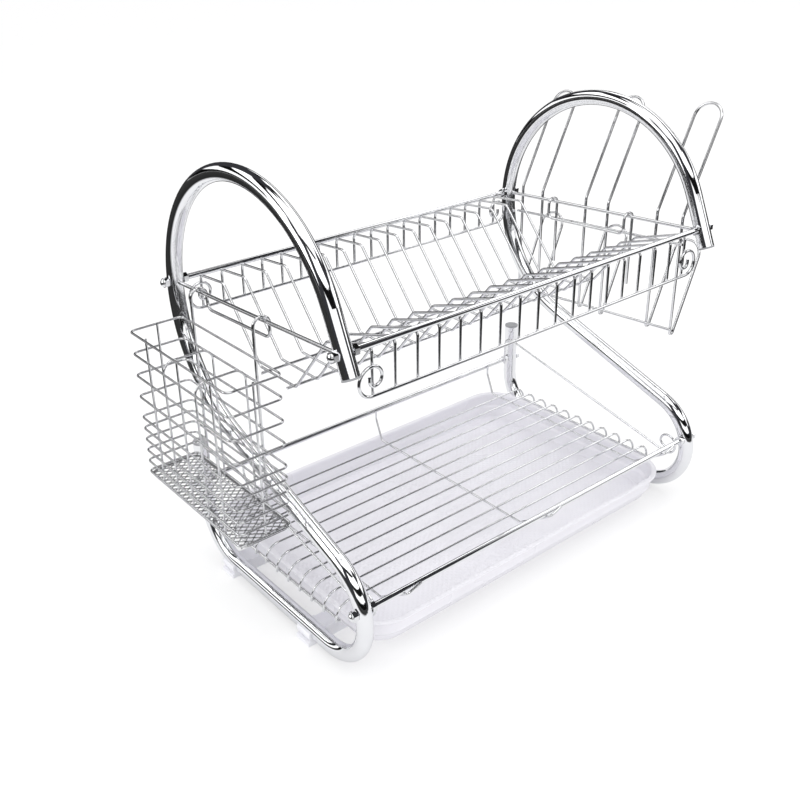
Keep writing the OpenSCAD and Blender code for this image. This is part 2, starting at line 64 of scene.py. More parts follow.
# The frame's own counts and thicknesses, in metres, which its boxes don't tell.
PLATE_WIRES = 18
BOWL_WIRES = 11
PLATE_WIRE_RADIUS = 0.00115
BOWL_WIRE_RADIUS = 0.001
CROSS_BAR_RADIUS = 0.0011
BASKET_WIRE_RADIUS = 0.00095
BASKET_CLOSE_RINGS = 6
BASKET_OPEN_RINGS = 4
BASKET_CLOSE_PITCH = 0.0106
MESH_CELL_SHARE = 0.62  # width of one diamond of the mesh beside its length
MESH_TIP = math.radians(28)  # how far a strand's flat section tips over

# What mirrors see of the room: a brightness at each height, from 0 straight down to 1 straight up.
ROOM_BANDS = (
    (0.49, 0.5), (0.5, 0.004), (0.57, 0.004), (0.585, 1.3), (0.67, 1.3), (0.685, 0.006),
    (0.765, 0.006), (0.78, 1.9), (0.89, 1.9), (0.9, 0.01), (0.955, 0.01), (0.965, 1.4),
)
ROOM_LOWEST, ROOM_HIGHEST = 0.3, 0.9
DARK_SCREENS = 3.0  # how many dark upright screens stand round the room
SCREEN_TURN = 0.9
SCREEN_TONE = (0.04, 0.04, 0.045, 1)
LIGHT_AIM = (0, 0, 0.18)

FLOOR_RADIUS = 14.0
FLOOR_SIDES = 96
FLOOR_HEIGHT = -0.0002
BLACK, WHITE = (0, 0, 0, 1), (1, 1, 1, 1)


# ---------------------------------------------------------------- settings


class DishRackFinish(bpy.types.PropertyGroup):
    """Colours and finish of the rack's materials."""

    chrome_colour: FloatVectorProperty(
        name="Chrome colour",
        description="Reflection colour of the bright plating",
        subtype="COLOR", size=3, min=0, max=1, default=(0.88, 0.885, 0.9),
    )
    chrome_roughness: FloatProperty(
        name="Chrome roughness",
        description="Roughness of clean plating",
        default=0.03, min=0, max=1,
    )
    plug_colour: FloatVectorProperty(
        name="Plug colour",
        description="Colour of the tube end plugs",
        subtype="COLOR", size=3, min=0, max=1, default=(0.33, 0.335, 0.35),
    )
    foot_colour: FloatVectorProperty(
        name="Foot colour",
        description="Colour of the moulded clip feet",
        subtype="COLOR", size=3, min=0, max=1, default=(0.86, 0.86, 0.9),
    )
    tray_colour: FloatVectorProperty(
        name="Tray colour",
        description="Colour of the formed drip tray",
        subtype="COLOR", size=3, min=0, max=1, default=(0.84, 0.83, 0.88),
    )
    mesh_tint: FloatProperty(
        name="Mesh tint",
        description="Brightness of the basket's open mesh beside the other plating",
        default=0.34, min=0.2, max=1,
    )


class DishRackShape(bpy.types.PropertyGroup):
    """Sizes of the pieces that are made here."""

    tray_wall: FloatProperty(
        name="Tray wall",
        description="Thickness of the tray's formed sheet",
        unit="LENGTH", default=0.0016, min=0.0008, max=0.003,
    )
    tray_corner: FloatProperty(
        name="Tray corner",
        description="Corner radius of the tray's rim",
        unit="LENGTH", default=0.036, min=0.02, max=0.05,
    )
    tray_lip: FloatProperty(
        name="Tray lip",
        description="How far the rim stands out past the wall",
        unit="LENGTH", default=0.0035, min=0.001, max=0.006,
    )
    tray_step: FloatProperty(
        name="Tray step",
        description="Width of the step half way up the wall",
        unit="LENGTH", default=0.0026, min=0.001, max=0.004,
    )
    tray_hatch_pitch: FloatProperty(
        name="Hatch pitch",
        description="Spacing of the fine lines pressed into the tray's floor",
        unit="LENGTH", default=0.004, min=0.001, max=0.01,
    )
    tray_hatch_depth: FloatProperty(
        name="Hatch depth",
        description="Depth of the fine lines pressed into the tray's floor",
        unit="LENGTH", default=0.0003, min=0, max=0.001,
    )
    mesh_edge: FloatProperty(
        name="Mesh edge",
        description="Width of the folded edge round the basket's mesh",
        unit="LENGTH", default=0.0018, min=0.001, max=0.004,
    )
    mesh_corner: FloatProperty(
        name="Mesh corner",
        description="Corner radius of the basket's mesh",
        unit="LENGTH", default=0.008, min=0.003, max=0.012,
    )
    strand_pitch: FloatProperty(
        name="Mesh pitch",
        description="Length of one diamond of the basket's open mesh",
        unit="LENGTH", default=0.0062, min=0.003, max=0.012,
    )
    strand_width: FloatProperty(
        name="Strand width",
        description="Width of the strands of the basket's open mesh",
        unit="LENGTH", default=0.0011, min=0.0005, max=0.002,
    )
    foot_round: FloatProperty(
        name="Foot edge round",
        description="Radius of the rounded edges of the clip feet",
        unit="LENGTH", default=0.0006, min=0.0001, max=0.001,
    )
    weld_size: FloatProperty(
        name="Weld size",
        description="Radius of the small fillet of metal at a welded crossing",
        unit="LENGTH", default=0.0013, min=0.0005, max=0.003,
    )


class DishRackStage(bpy.types.PropertyGroup):
    """Camera, floor and lights."""

    camera_place: FloatVectorProperty(
        name="Camera place",
        description="Where the camera stands",
        subtype="TRANSLATION", unit="LENGTH", size=3, default=(-0.5563, -0.5925, 0.5555),
    )
    camera_heading: FloatProperty(
        name="Camera heading",
        description="Turn of the view from straight back towards the right",
        subtype="ANGLE", default=math.radians(37.29),
    )
    camera_pitch: FloatProperty(
        name="Camera pitch",
        description="How far the view looks down",
        subtype="ANGLE", default=math.radians(25.73),
    )
    camera_roll: FloatProperty(
        name="Camera roll",
        description="Turn of the camera about its view",
        subtype="ANGLE", default=math.radians(-1.90),
    )
    camera_lens: FloatProperty(
        name="Lens",
        description="Focal length on a 36 mm sensor",
        unit="CAMERA", default=43.76, min=10, max=200,
    )
    camera_shift: FloatVectorProperty(
        name="Lens shift",
        description="Sideways and upward shift of the lens",
        size=2, default=(0.0516, -0.0332),
    )
    floor_colour: FloatVectorProperty(
        name="Floor colour",
        description="Colour of the plain floor",
        subtype="COLOR", size=3, min=0, max=1, default=(0.98, 0.98, 0.985),
    )
    floor_glow: FloatProperty(
        name="Floor glow",
        description="Share of the floor's brightness that is its own light, which softens the rack's shadow",
        default=0.45, min=0, max=0.9,
    )
    floor_in_mirrors: FloatVectorProperty(
        name="Floor in mirrors",
        description="Colour of the floor as bright metal reflects it",
        subtype="COLOR", size=3, min=0, max=1, default=(0.78, 0.78, 0.79),
    )
    dark_floor_from: FloatProperty(
        name="Dark floor from",
        description="Distance past which bright metal sees the floor as dark",
        unit="LENGTH", default=0.55, min=0.2, max=5,
    )
    room_strength: FloatProperty(
        name="Room strength",
        description="Brightness of the white room",
        default=1.02, min=0, max=5,
    )
    light_power: FloatProperty(
        name="Light power",
        description="Power of the main soft light",
        unit="POWER", default=7, min=0, max=500,
    )


# ---------------------------------------------------------------- node groups


def new_group(name, inputs, outputs):
    """A shader node group with those inputs (name, socket, default) and outputs (name, socket)."""
    tree = bpy.data.node_groups.new(name, "ShaderNodeTree")
    for label, kind, value in inputs:
        socket = tree.interface.new_socket(label, in_out="INPUT", socket_type=kind)
        socket.default_value = value
    for label, kind in outputs:
        tree.interface.new_socket(label, in_out="OUTPUT", socket_type=kind)
    enter = tree.nodes.new("NodeGroupInput")
    leave = tree.nodes.new("NodeGroupOutput")
    return tree, enter, leave


def add(tree, kind, **values):
    """A node of that kind, with attributes and input defaults set by name."""
    node = tree.nodes.new(kind)
    for key, value in values.items():
        label = key.replace("_", " ").title()
        if hasattr(node, key):
            setattr(node, key, value)
        else:
            node.inputs[label].default_value = value
    return node


def map_range(tree, source, low, high, to_low, to_high):
    """source, stretched from low..high to to_low..to_high and held there."""
    node = tree.nodes.new("ShaderNodeMapRange")
    for socket, value in zip(node.inputs[1:5], (low, high, to_low, to_high)):
        if hasattr(value, "links"):
            tree.links.new(value, socket)
        else:
            socket.default_value = value
    tree.links.new(source, node.inputs[0])
    return node.outputs[0]


def mix_colour(tree, factor, first, second):
    """A mix of two colours; each may be a socket or a plain colour."""
    node = tree.nodes.new("ShaderNodeMix")
    node.data_type = "RGBA"
    tree.links.new(factor, node.inputs[0])
    for socket, value in ((node.inputs[6], first), (node.inputs[7], second)):
        if hasattr(value, "links"):
            tree.links.new(value, socket)
        else:
            socket.default_value = value
    return node.outputs[2]


def math_node(tree, operation, first, second=0.0):
    """One arithmetic step on two values or sockets."""
    node = tree.nodes.new("ShaderNodeMath")
    node.operation = operation
    for socket, value in ((node.inputs[0], first), (node.inputs[1], second)):
        if hasattr(value, "links"):
            tree.links.new(value, socket)
        else:
            socket.default_value = value
    return node.outputs[0]


def handled_plating():
    """Bright plating that has been wiped: cloudy smears, a fine grain and small water spots.

    Puts out a colour that dulls in the smears, a roughness that rises there and at the spots,
    and a height."""
    tree, enter, leave = new_group(
        "handled_plating",
        [("Colour", "NodeSocketColor", (0.9, 0.9, 0.9, 1)), ("Roughness", "NodeSocketFloat", 0.05),
         ("Smears", "NodeSocketFloat", 0.5), ("Scale", "NodeSocketFloat", 60.0)],
        [("Colour", "NodeSocketColor"), ("Roughness", "NodeSocketFloat"), ("Height", "NodeSocketFloat")],
    )
    link = tree.links.new
    place = tree.nodes.new("ShaderNodeTexCoord").outputs["Object"]
    cloud = add(tree, "ShaderNodeTexNoise", detail=5.0, roughness=0.6)
    link(place, cloud.inputs["Vector"])
    link(enter.outputs["Scale"], cloud.inputs["Scale"])
    smear = map_range(tree, cloud.outputs["Fac"], 0.48, 0.78, 0.0, 1.0)
    fine = add(tree, "ShaderNodeTexNoise", scale=900.0, detail=2.0, roughness=0.5)
    link(place, fine.inputs["Vector"])
    spots = add(tree, "ShaderNodeTexVoronoi", scale=170.0, randomness=1.0)
    link(place, spots.inputs["Vector"])
    rim = map_range(tree, spots.outputs["Distance"], 0.06, 0.14, 1.0, 0.0)
    amount = math_node(tree, "MULTIPLY", smear, enter.outputs["Smears"])
    spotted = math_node(tree, "MULTIPLY", rim, enter.outputs["Smears"])
    dulling = math_node(tree, "MULTIPLY", amount, 0.16)
    dulled = mix_colour(tree, dulling, enter.outputs["Colour"], (0.62, 0.63, 0.66, 1))
    rough = math_node(tree, "ADD", enter.outputs["Roughness"], math_node(tree, "MULTIPLY", amount, 0.07))
    rough = math_node(tree, "ADD", rough, math_node(tree, "MULTIPLY", spotted, 0.05))
    link(dulled, leave.inputs["Colour"])
    link(rough, leave.inputs["Roughness"])
    waves = math_node(tree, "MULTIPLY", cloud.outputs["Fac"], 0.4)
    link(math_node(tree, "ADD", fine.outputs["Fac"], waves), leave.inputs["Height"])
    return tree


def moulded_plastic():
    """Moulded or formed plastic: a slow cloudy change of tone and a fine grain.

    Puts out a colour, a roughness and a height."""
    tree, enter, leave = new_group(
        "moulded_plastic",
        [("Colour", "NodeSocketColor", (0.8, 0.8, 0.8, 1)), ("Shade", "NodeSocketColor", (0.7, 0.7, 0.72, 1)),
         ("Roughness", "NodeSocketFloat", 0.35), ("Cloud Scale", "NodeSocketFloat", 25.0),
         ("Grain Scale", "NodeSocketFloat", 1500.0)],
        [("Colour", "NodeSocketColor"), ("Roughness", "NodeSocketFloat"), ("Height", "NodeSocketFloat")],
    )
    link = tree.links.new
    place = tree.nodes.new("ShaderNodeTexCoord").outputs["Object"]
    cloud = add(tree, "ShaderNodeTexNoise", detail=4.0, roughness=0.55)
    grain = add(tree, "ShaderNodeTexNoise", detail=2.0, roughness=0.6)
    link(place, cloud.inputs["Vector"])
    link(place, grain.inputs["Vector"])
    link(enter.outputs["Cloud Scale"], cloud.inputs["Scale"])
    link(enter.outputs["Grain Scale"], grain.inputs["Scale"])
    tone = map_range(tree, cloud.outputs["Fac"], 0.35, 0.7, 0.0, 1.0)
    link(mix_colour(tree, tone, enter.outputs["Colour"], enter.outputs["Shade"]), leave.inputs["Colour"])
    rough = math_node(tree, "ADD", enter.outputs["Roughness"], math_node(tree, "MULTIPLY", tone, 0.1))
    link(rough, leave.inputs["Roughness"])
    link(grain.outputs["Fac"], leave.inputs["Height"])
    return tree


def pressed_hatch():
    """Two sets of fine lines crossed at right angles, at 45 degrees to the tray's sides.

    The height is the larger of the sines of x + y and x - y over the pitch, and fades off sloping faces."""
    tree, enter, leave = new_group(
        "pressed_hatch", [("Pitch", "NodeSocketFloat", 0.003)], [("Height", "NodeSocketFloat")]
    )
    link = tree.links.new
    place = tree.nodes.new("ShaderNodeSeparateXYZ")
    link(tree.nodes.new("ShaderNodeTexCoord").outputs["Object"], place.inputs[0])
    per_metre = math_node(tree, "DIVIDE", 2 * math.pi * math.sqrt(0.5), enter.outputs["Pitch"])
    waves = []
    for operation in ("ADD", "SUBTRACT"):
        diagonal = math_node(tree, operation, place.outputs["X"], place.outputs["Y"])
        waves.append(math_node(tree, "SINE", math_node(tree, "MULTIPLY", diagonal, per_metre)))
    crossed = math_node(tree, "MAXIMUM", waves[0], waves[1])
    facing = tree.nodes.new("ShaderNodeSeparateXYZ")
    link(tree.nodes.new("ShaderNodeNewGeometry").outputs["True Normal"], facing.inputs[0])
    level = map_range(tree, facing.outputs["Z"], 0.9, 0.99, 0.0, 1.0)
    link(math_node(tree, "MULTIPLY", crossed, level), leave.inputs["Height"])
    return tree


EFFECTS = {effect.__name__: effect for effect in (handled_plating, moulded_plastic, pressed_hatch)}


def group_node(tree, group, **values):
    """An effect's node group placed in a material with its own values; it is built at its first use."""
    node = tree.nodes.new("ShaderNodeGroup")
    node.node_tree = bpy.data.node_groups.get(group) or EFFECTS[group]()
    for key, value in values.items():
        socket = node.inputs[key.replace("_", " ")]
        socket.default_value = (*value, 1) if hasattr(value, "__len__") else value
    return node


def finished(name, group, bump, bump_distance, principled, **values):
    """A material: one effect group feeding a Principled shader, whose constant values are in principled."""
    material = bpy.data.materials.new(name)
    material.use_nodes = True
    tree = material.node_tree
    shader = tree.nodes["Principled BSDF"]
    effect = group_node(tree, group, **values)
    tree.links.new(effect.outputs["Colour"], shader.inputs["Base Color"])
    tree.links.new(effect.outputs["Roughness"], shader.inputs["Roughness"])
    height = tree.nodes.new("ShaderNodeBump")
    height.inputs["Strength"].default_value = bump
    height.inputs["Distance"].default_value = bump_distance
    tree.links.new(effect.outputs["Height"], height.inputs["Height"])
    tree.links.new(height.outputs["Normal"], shader.inputs["Normal"])
    for key, value in principled.items():
        shader.inputs[key].default_value = value
    return material


def chrome(name, smears, scale, tint=1.0):
    """Bright plated metal."""
    look = bpy.context.scene.dish_rack_finish
    colour = tuple(tint * c for c in look.chrome_colour)
    return finished(
        name, "handled_plating", 0.02, 0.0004, {"Metallic": 1.0},
        Colour=colour, Roughness=look.chrome_roughness, Smears=smears, Scale=scale,
    )


def give(node, material):
    """Puts a material on a carried-over CAD node."""
    slots = frame["nodes"][node].material_slots
    if not slots:
        frame["nodes"][node].data.materials.append(material)
    for s in slots:
        s.material = material


# ---------------------------------------------------------------- mesh code


def surface_piece(name, points, body, slot, material, closed_u=False, closed_v=False, smooth=True):
    """A mesh from an array of points on a grid of rows and columns, wrapped round where it is closed."""
    rows, columns = points.shape[:2]
    index = np.arange(rows * columns).reshape(rows, columns)
    if closed_u:
        index = np.concatenate([index, index[:1]], axis=0)
    if closed_v:
        index = np.concatenate([index, index[:, :1]], axis=1)
    quads = np.stack([index[:-1, :-1], index[:-1, 1:], index[1:, 1:], index[1:, :-1]], axis=-1).reshape(-1, 4)
    return mesh_piece(name, points.reshape(-1, 3), quads, body, slot, material, smooth)


def mesh_piece(name, points, faces, body, slot, material, smooth=True):
    """A piece from points and faces, riding on a body, with its material; its slot is not used."""
    mesh = bpy.data.meshes.new(name)
    mesh.from_pydata(points.tolist(), [], faces.tolist() if hasattr(faces, "tolist") else faces)
    mesh.update()
    if smooth:
        mesh.polygons.foreach_set("use_smooth", np.ones(len(mesh.polygons), bool))
    piece = bpy.data.objects.new(name, mesh)
    bpy.context.scene.collection.objects.link(piece)
    mesh.materials.append(material)
    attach(piece, body)
    return piece


def rounded_outlines(half_x, half_y, radius, arc=14, run=24):
    """Rows of points round rectangles with round corners, one row for each set of half sizes and radius.

    Each corner is an arc of radius r about (half_x - r, half_y - r); the straights join the arcs' ends."""
    half_x, half_y, radius = (np.asarray(v, float).reshape(-1, 1) for v in (half_x, half_y, radius))
    turn = np.linspace(0, np.pi / 2, arc)
    step = np.linspace(0, 1, run + 2)[1:-1]
    corners = [
        (
            sx * (half_x - radius) + radius * np.cos(turn + q * np.pi / 2),
            sy * (half_y - radius) + radius * np.sin(turn + q * np.pi / 2),
        )
        for q, (sx, sy) in enumerate(((1, 1), (-1, 1), (-1, -1), (1, -1)))
    ]
    parts = []
    for q, corner in enumerate(corners):
        after = corners[(q + 1) % 4]
        parts.append(np.stack(corner, axis=-1))
        straight = [a[:, -1:] * (1 - step) + b[:, :1] * step for a, b in zip(corner, after)]
        parts.append(np.stack(straight, axis=-1))
    return np.concatenate(parts, axis=1)


def rounded_path(corners, radii, steps=5):
    """A path through corners with each inner corner rounded.

    The round is a parabola between the points where an arc of that radius would leave the two straights:
    (1 - t)^2 start + 2 t (1 - t) corner + t^2 end."""
    corners = [np.asarray(c, float) for c in corners]
    path = [corners[0]]
    for before, here, after, radius in zip(corners, corners[1:], corners[2:], radii):
        u, v = (before - here), (after - here)
        reach_u, reach_v = np.linalg.norm(u), np.linalg.norm(v)
        u, v = u / reach_u, v / reach_v
        half = math.acos(max(-1.0, min(1.0, float(u @ v)))) / 2
        back = min(radius / math.tan(half), 0.49 * reach_u, 0.49 * reach_v)
        start, end = here + back * u, here + back * v
        t = np.linspace(0, 1, steps)[:, None]
        path.extend((1 - t) ** 2 * start + 2 * t * (1 - t) * here + t**2 * end)
    path.append(corners[-1])
    return np.array(path)


def ball_cluster(places, radii, rows=6, columns=8):
    """Small round lumps, one at each place.

    Each is a globe: x = sin(lift) cos(turn), y = sin(lift) sin(turn), z = cos(lift), times its radii."""
    lift = np.linspace(0, np.pi, rows + 1)[1:-1]
    turn = np.linspace(0, 2 * np.pi, columns, endpoint=False)
    ring = np.stack(
        [np.outer(np.sin(lift), np.cos(turn)), np.outer(np.sin(lift), np.sin(turn)),
         np.outer(np.cos(lift), np.ones(columns))], axis=-1,
    ).reshape(-1, 3)
    globe = np.concatenate([ring, [[0, 0, 1], [0, 0, -1]]])
    faces = []
    for r in range(rows - 2):
        for c in range(columns):
            d = (c + 1) % columns
            faces.append([r * columns + c, (r + 1) * columns + c, (r + 1) * columns + d, r * columns + d])
    top, bottom, last = len(ring), len(ring) + 1, (rows - 2) * columns
    faces += [[top, c, (c + 1) % columns] for c in range(columns)]
    faces += [[bottom, last + (c + 1) % columns, last + c] for c in range(columns)]
    points = (np.asarray(places)[:, None] + globe[None] * np.asarray(radii)[:, None]).reshape(-1, 3)
    everything = [[i + k * len(globe) for i in f] for k in range(len(places)) for f in faces]
    return points, everything


# ---------------------------------------------------------------- the steps


class DISHRACK_OT_chrome(bpy.types.Operator):
    """Give the tubes, rails, nuts and wires their bright plating"""

    bl_idname = "dishrack.chrome"
    bl_label = "Chrome finish"

    def execute(self, context):
        finishes = {
            "tube": chrome("chrome_tube", 0.5, 22.0),
            "rail": chrome("chrome_rail", 0.45, 45.0),
            "nut": chrome("chrome_nut", 0.8, 140.0, 0.92),
            "wire": chrome("chrome_wire", 0.4, 80.0, 0.88),
            "basket_wire": chrome("chrome_basket_wire", 0.5, 90.0, 0.8),
            "cup_wire": chrome("chrome_cup_wire", 0.4, 80.0, 0.88),
        }
        for node, slot in NODE_SLOTS.items():
            if slot in finishes:
                give(node, finishes[slot])
        return {"FINISHED"}


class DISHRACK_OT_plugs(bpy.types.Operator):
    """Give the tube end plugs their moulded finish"""

    bl_idname = "dishrack.plugs"
    bl_label = "Tube end plugs"

    def execute(self, context):
        look = context.scene.dish_rack_finish
        dark = tuple(0.8 * c for c in look.plug_colour)
        material = finished(
            "plug_plastic", "moulded_plastic", 0.15, 0.0003, {"IOR": 1.48},
            Colour=look.plug_colour, Shade=dark, Roughness=0.42, Cloud_Scale=120.0, Grain_Scale=2200.0,
        )
        give("tube_plugs", material)
        return {"FINISHED"}


class DISHRACK_OT_feet(bpy.types.Operator):
    """Give the clip feet their moulded finish"""

    bl_idname = "dishrack.feet"
    bl_label = "Clip feet"

    def execute(self, context):
        look = context.scene.dish_rack_finish
        shade = tuple(0.93 * c for c in look.foot_colour)
        material = finished(
            "foot_plastic", "moulded_plastic", 0.12, 0.0003,
            {"IOR": 1.5, "Coat Weight": 0.15, "Coat Roughness": 0.2},
            Colour=look.foot_colour, Shade=shade, Roughness=0.38, Cloud_Scale=90.0, Grain_Scale=1800.0,
        )
        piece = self.rounded_copy(material)
        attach(piece, "rack")
        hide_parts("clip_feet")
        return {"FINISHED"}

    def rounded_copy(self, material):
        """A joined-up copy of the clips with a small round on every sharp edge."""
        mesh = frame["nodes"]["clip_feet"].data.copy()
        mesh.name = "moulded_feet"
        edit = bmesh.new()
        edit.from_mesh(mesh)
        bmesh.ops.remove_doubles(edit, verts=edit.verts[:], dist=1e-5)
        bmesh.ops.dissolve_limit(edit, angle_limit=math.radians(4), verts=edit.verts[:], edges=edit.edges[:])
        edit.to_mesh(mesh)
        edit.free()
        mesh.materials.clear()
        mesh.materials.append(material)
        piece = bpy.data.objects.new("moulded_feet", mesh)
        bpy.context.scene.collection.objects.link(piece)
        round_edges = piece.modifiers.new("rounded_edges", "BEVEL")
        round_edges.width = bpy.context.scene.dish_rack_shape.foot_round
        round_edges.segments = 3
        round_edges.limit_method = "ANGLE"
        round_edges.angle_limit = math.radians(35)
        round_edges.harden_normals = True
        return piece


class DISHRACK_OT_tray(bpy.types.Operator):
    """Build the formed drip tray with its stepped wall, rolled rim and hatched floor"""

    bl_idname = "dishrack.tray"
    bl_label = "Drip tray"

    def execute(self, context):
        shape = context.scene.dish_rack_shape
        points = self.shell(shape)
        piece = surface_piece(
            "formed_tray", points, "drip_tray", NODE_SLOTS["drip_tray"], self.plastic(context.scene),
            closed_v=True,
        )
        self.close_centres(piece, *points.shape[:2])
        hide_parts("drip_tray")
        return {"FINISHED"}

    def shell(self, shape):
        """The tray's closed surface: a profile of inset and height carried round the rim's outline.

        It runs from the middle of the underside out, up the stepped wall, over the rolled rim,
        down the inside and back to the middle of the floor."""
        low, high = (np.array(c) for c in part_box("drip_tray"))
        wall, lip, step = shape.tray_wall, shape.tray_lip, shape.tray_step
        bottom, top = low[2], high[2]
        middle = bottom + 0.4 * (top - bottom)
        outer = [
            (lip + 4 * step, bottom), (lip + 3 * step, bottom), (lip + 1.4 * step, middle - 0.6 * step),
            (lip + 0.5 * step, middle + 0.2 * step), (lip, top - 2.6 * wall), (0.9 * wall, top - 1.9 * wall),
            (0.0, top - 1.2 * wall), (0.0, top),
        ]
        inner = [
            (lip + 0.6 * wall, top), (lip + 1.2 * wall, top - 1.5 * wall),
            (lip + 0.5 * step + wall, middle + 0.4 * step + wall),
            (lip + 1.4 * step + wall, middle - 0.3 * step + wall), (lip + 3 * step + wall, bottom + wall),
            (lip + 4 * step, bottom + wall),
        ]
        outer_radii = [3 * wall, step, step, 1.6 * wall, wall, 0.6 * wall, 0.7 * wall]
        inner_radii = [0.7 * wall, 0.8 * wall, step, step, 2 * wall]
        profile = rounded_path(outer + inner, outer_radii + inner_radii)
        half = (high - low) / 2
        centre = (high + low) / 2
        rim = rounded_outlines(
            half[0] - profile[:, 0], half[1] - profile[:, 0], shape.tray_corner - profile[:, 0]
        )
        shrink = np.linspace(1, 0.03, 12)[1:, None, None]
        under = rim[:1] * shrink[::-1]
        floor = rim[-1:] * shrink
        flat = np.concatenate([under, rim, floor])
        heights = np.concatenate(
            [np.full(len(under), bottom), profile[:, 1], np.full(len(floor), bottom + wall)]
        )
        points = np.empty((*flat.shape[:2], 3))
        points[..., :2] = flat + centre[:2]
        points[..., 2] = heights[:, None]
        return points

    def close_centres(self, piece, rows, columns):
        """Close the small openings left in the middle of the underside and of the floor."""
        mesh = piece.data
        edit = bmesh.new()
        edit.from_mesh(mesh)
        edit.verts.ensure_lookup_table()
        first = [edit.verts[i] for i in range(columns)]
        last = [edit.verts[(rows - 1) * columns + i] for i in range(columns)]
        edit.faces.new(first).smooth = True
        edit.faces.new(last[::-1]).smooth = True
        bmesh.ops.recalc_face_normals(edit, faces=edit.faces[:])
        edit.to_mesh(mesh)
        edit.free()

    def plastic(self, scene):
        """Pale plastic with a fine crossed hatch pressed into the level floor."""
        look, shape = scene.dish_rack_finish, scene.dish_rack_shape
        material = finished(
            "tray_plastic", "moulded_plastic", 0.05, 0.0002,
            {"IOR": 1.49, "Coat Weight": 0.3, "Coat Roughness": 0.1},
            Colour=look.tray_colour, Shade=tuple(0.95 * c for c in look.tray_colour), Roughness=0.24,
            Cloud_Scale=9.0, Grain_Scale=700.0,
        )
        tree = material.node_tree
        hatch = group_node(tree, "pressed_hatch", Pitch=shape.tray_hatch_pitch)
        bump = tree.nodes.new("ShaderNodeBump")
        bump.inputs["Strength"].default_value = 0.3
        bump.inputs["Distance"].default_value = shape.tray_hatch_depth
        shader = tree.nodes["Principled BSDF"]
        under = shader.inputs["Normal"].links[0].from_node
        tree.links.new(hatch.outputs["Height"], bump.inputs["Height"])
        tree.links.new(under.outputs["Normal"], bump.inputs["Normal"])
        tree.links.new(bump.outputs["Normal"], shader.inputs["Normal"])
        return material


class DISHRACK_OT_mesh(bpy.types.Operator):
    """Build the basket's floor of expanded metal inside a folded edge"""

    bl_idname = "dishrack.mesh"
    bl_label = "Basket mesh floor"

    def execute(self, context):
        shape = context.scene.dish_rack_shape
        material = chrome("plated_mesh", 0.9, 150.0, context.scene.dish_rack_finish.mesh_tint)
        low, high = (np.array(c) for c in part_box("basket_floor_mesh"))
        strands = self.strands(shape, low, high, material)
        edge = self.edge(shape, low, high, material)
        for piece in (strands, edge):
            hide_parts("basket_floor_mesh")
        return {"FINISHED"}

    def strands(self, shape, low, high, material):
        """Wavy strands side by side, each the mirror of the last, so that they meet at every crest.

        A strand's middle swings as a cosine of its length; its flat section tips over with the slope."""
        width, thick, band = shape.strand_width, 0.5 * (high[2] - low[2]), shape.mesh_edge
        span = high[:2] - low[:2] - band
        count = max(2, round(span[0] / (MESH_CELL_SHARE * shape.strand_pitch)))
        waves = max(2, round(span[1] / shape.strand_pitch))
        t = np.linspace(0, 1, 8 * waves + 1)
        turn = 2 * np.pi * waves * t
        cell = span[0] / count
        level = (low[2] + high[2]) / 2
        blocks, faces = [], []
        for j in range(count):
            side = 1 if j % 2 else -1
            swing = side * (cell - 0.6 * width) / 2 * np.cos(turn)
            middle = low[0] + band / 2 + (j + 0.5) * cell + swing
            tip = (side * MESH_TIP * np.sin(turn))[:, None]
            corners = np.array([[-1, -1], [1, -1], [1, 1], [-1, 1]]) * [width / 2, thick / 2]
            x = middle[:, None] + corners[:, 0] * np.cos(tip) - corners[:, 1] * np.sin(tip)
            z = level + corners[:, 0] * np.sin(tip) + corners[:, 1] * np.cos(tip)
            y = np.broadcast_to((low[1] + band / 2 + span[1] * t)[:, None], x.shape)
            first = sum(len(b) for b in blocks)
            rows = np.arange(len(t) - 1)[:, None] * 4 + first
            here, there = np.arange(4), (np.arange(4) + 1) % 4
            quads = np.stack([rows + here, rows + there, rows + there + 4, rows + here + 4], axis=-1)
            last = first + 4 * (len(t) - 1)
            faces += quads.reshape(-1, 4)[:, ::-1].tolist()
            faces += [[first, first + 1, first + 2, first + 3], [last + 3, last + 2, last + 1, last]]
            blocks.append(np.clip(np.stack([x, y, z], axis=-1).reshape(-1, 3), low, high))
        return mesh_piece(
            "mesh_strands", np.concatenate(blocks), faces, "cutlery_basket", NODE_SLOTS["basket_floor_mesh"],
            material, smooth=False,
        )

    def edge(self, shape, low, high, material):
        """The folded edge: a flat band with round corners of its own carried round the mesh."""
        band = shape.mesh_edge
        half, centre = (high - low) / 2, (high + low) / 2
        turn = np.linspace(0, 2 * np.pi, 12, endpoint=False)
        inset = band / 2 * (1 - np.cos(turn))
        height = centre[2] + 0.96 * half[2] * np.sign(np.sin(turn)) * np.abs(np.sin(turn)) ** 0.5
        rows = rounded_outlines(half[0] - inset, half[1] - inset, shape.mesh_corner - inset, arc=8, run=2)
        points = np.empty((*rows.shape[:2], 3))
        points[..., :2] = rows + centre[:2]
        points[..., 2] = height[:, None]
        return surface_piece(
            "mesh_edge", points, "cutlery_basket", NODE_SLOTS["basket_floor_mesh"], material,
            closed_u=True, closed_v=True,
        )


